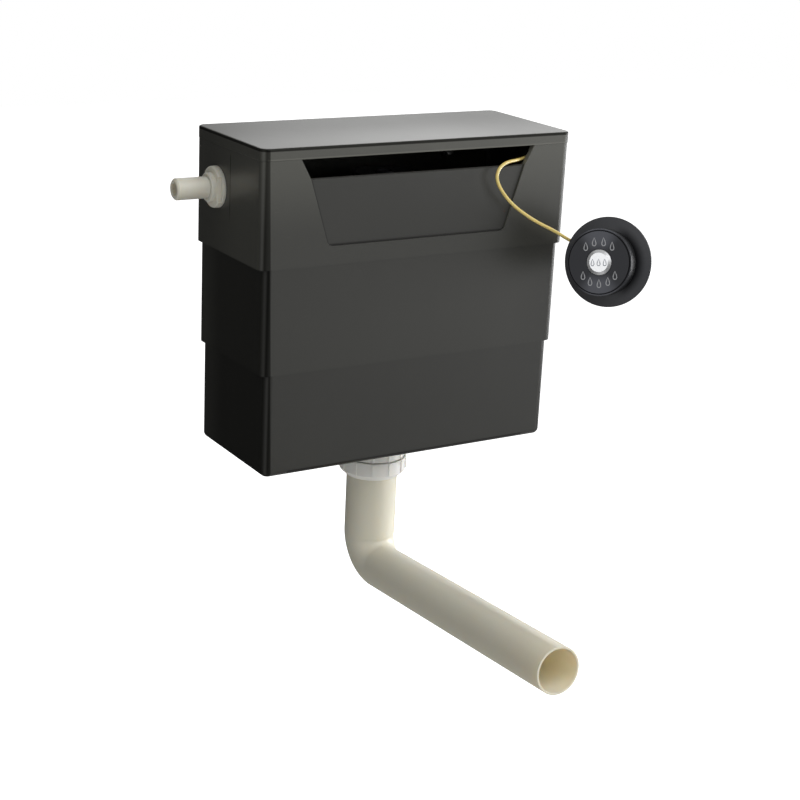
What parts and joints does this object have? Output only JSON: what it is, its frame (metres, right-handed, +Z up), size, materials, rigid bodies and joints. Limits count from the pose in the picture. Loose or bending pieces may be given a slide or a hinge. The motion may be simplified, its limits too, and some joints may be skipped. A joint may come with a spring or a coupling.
{
  "type": "concealed cistern",
  "caption": "Slim concealed flushing cistern with side water inlet, bottom flush bend and a remote push button on an air hose.",
  "frame": {"origin": "midway between the two wall fixing holes, on the tank's rear face", "axes": "+Z up, +Y into the wall, +X to the right as seen from the front"},
  "size_m": [0.4506, 0.4217, 0.4808],
  "materials": {
    "tank_plastic": "moulded charcoal plastic, fine satin",
    "inlet_plastic": "moulded light grey plastic",
    "outlet_plastic": "moulded pale plastic",
    "pipe_plastic": "extruded warm white plastic",
    "valve_plastic": "moulded white plastic",
    "signal_plastic": "moulded blue plastic",
    "button_plastic": "moulded charcoal plastic, satin face",
    "button_chrome": "bright plated plastic",
    "seal_rubber": "black rubber",
    "spring_steel": "drawn stainless wire",
    "hose_plastic": "yellowed clear soft plastic"
  },
  "bodies": {
    "cistern": {"cistern_tank": "tank_plastic", "inlet_valve_body": "inlet_plastic", "inlet_backnut": "inlet_plastic", "outlet_backnut": "outlet_plastic", "flush_pipe_nut": "outlet_plastic", "flush_valve_base": "outlet_plastic", "flush_pipe": "pipe_plastic", "inlet_valve_cap": "valve_plastic", "inlet_filter": "valve_plastic", "inlet_drop_tube": "valve_plastic", "flush_valve_cage": "valve_plastic", "actuator_housing": "button_plastic", "actuator_cap": "button_plastic", "button_plate": "button_plastic", "button_panel_nut": "button_plastic", "button_housing": "button_plastic", "inlet_seal_washer": "seal_rubber", "inlet_diaphragm": "seal_rubber", "base_seal_washer": "seal_rubber", "flush_pipe_seal": "seal_rubber", "actuator_bellows": "seal_rubber", "button_gasket": "seal_rubber", "button_bellows": "seal_rubber", "float_arm_pin": "spring_steel", "full_return_spring": "spring_steel", "air_hose": "hose_plastic"},
    "lid": {"cistern_lid": "tank_plastic"},
    "float": {"float_arm": "valve_plastic", "pilot_pad": "seal_rubber", "float_adjuster_screw": "signal_plastic", "float_cup": "valve_plastic"},
    "spindle": {"valve_spindle": "button_plastic", "flush_seal": "seal_rubber", "half_flush_float": "signal_plastic", "half_flush_clip": "signal_plastic", "actuator_piston": "valve_plastic"},
    "full_button": {"full_flush_button": "button_plastic", "half_return_spring": "spring_steel"},
    "half_button": {"half_flush_button": "button_chrome"}
  },
  "joints": [
    {"name": "lid_lift", "type": "slide", "parent": "cistern", "child": "lid", "axis": [0, 0, 1], "range_m": [0, 0.04]},
    {"name": "float_arm_pivot", "type": "hinge", "parent": "cistern", "child": "float", "pos_m": [-0.125, -0.046, -0.0357], "axis": [0, -1, 0], "range_deg": [0, 12]},
    {"name": "full_flush_press", "type": "slide", "parent": "cistern", "child": "full_button", "axis": [0.8194, 0.5423, -0.1857], "range_m": [0, 0.008], "stiffness_N_per_m": 300, "springref_m": -0.006, "deforming": ["button_bellows", "full_return_spring"]},
    {"name": "half_flush_press", "type": "slide", "parent": "full_button", "child": "half_button", "axis": [0.8194, 0.5423, -0.1857], "range_m": [0, 0.004], "stiffness_N_per_m": 150, "springref_m": -0.004, "deforming": ["half_return_spring"]},
    {"name": "flush_valve_lift", "type": "slide", "parent": "cistern", "child": "spindle", "axis": [0, 0, 1], "range_m": [0, 0.014], "deforming": ["actuator_bellows"]}
  ],
  "couplings": [
    {"joint": "flush_valve_lift", "follows": "full_flush_press", "ratio": 1.75}
  ]
}
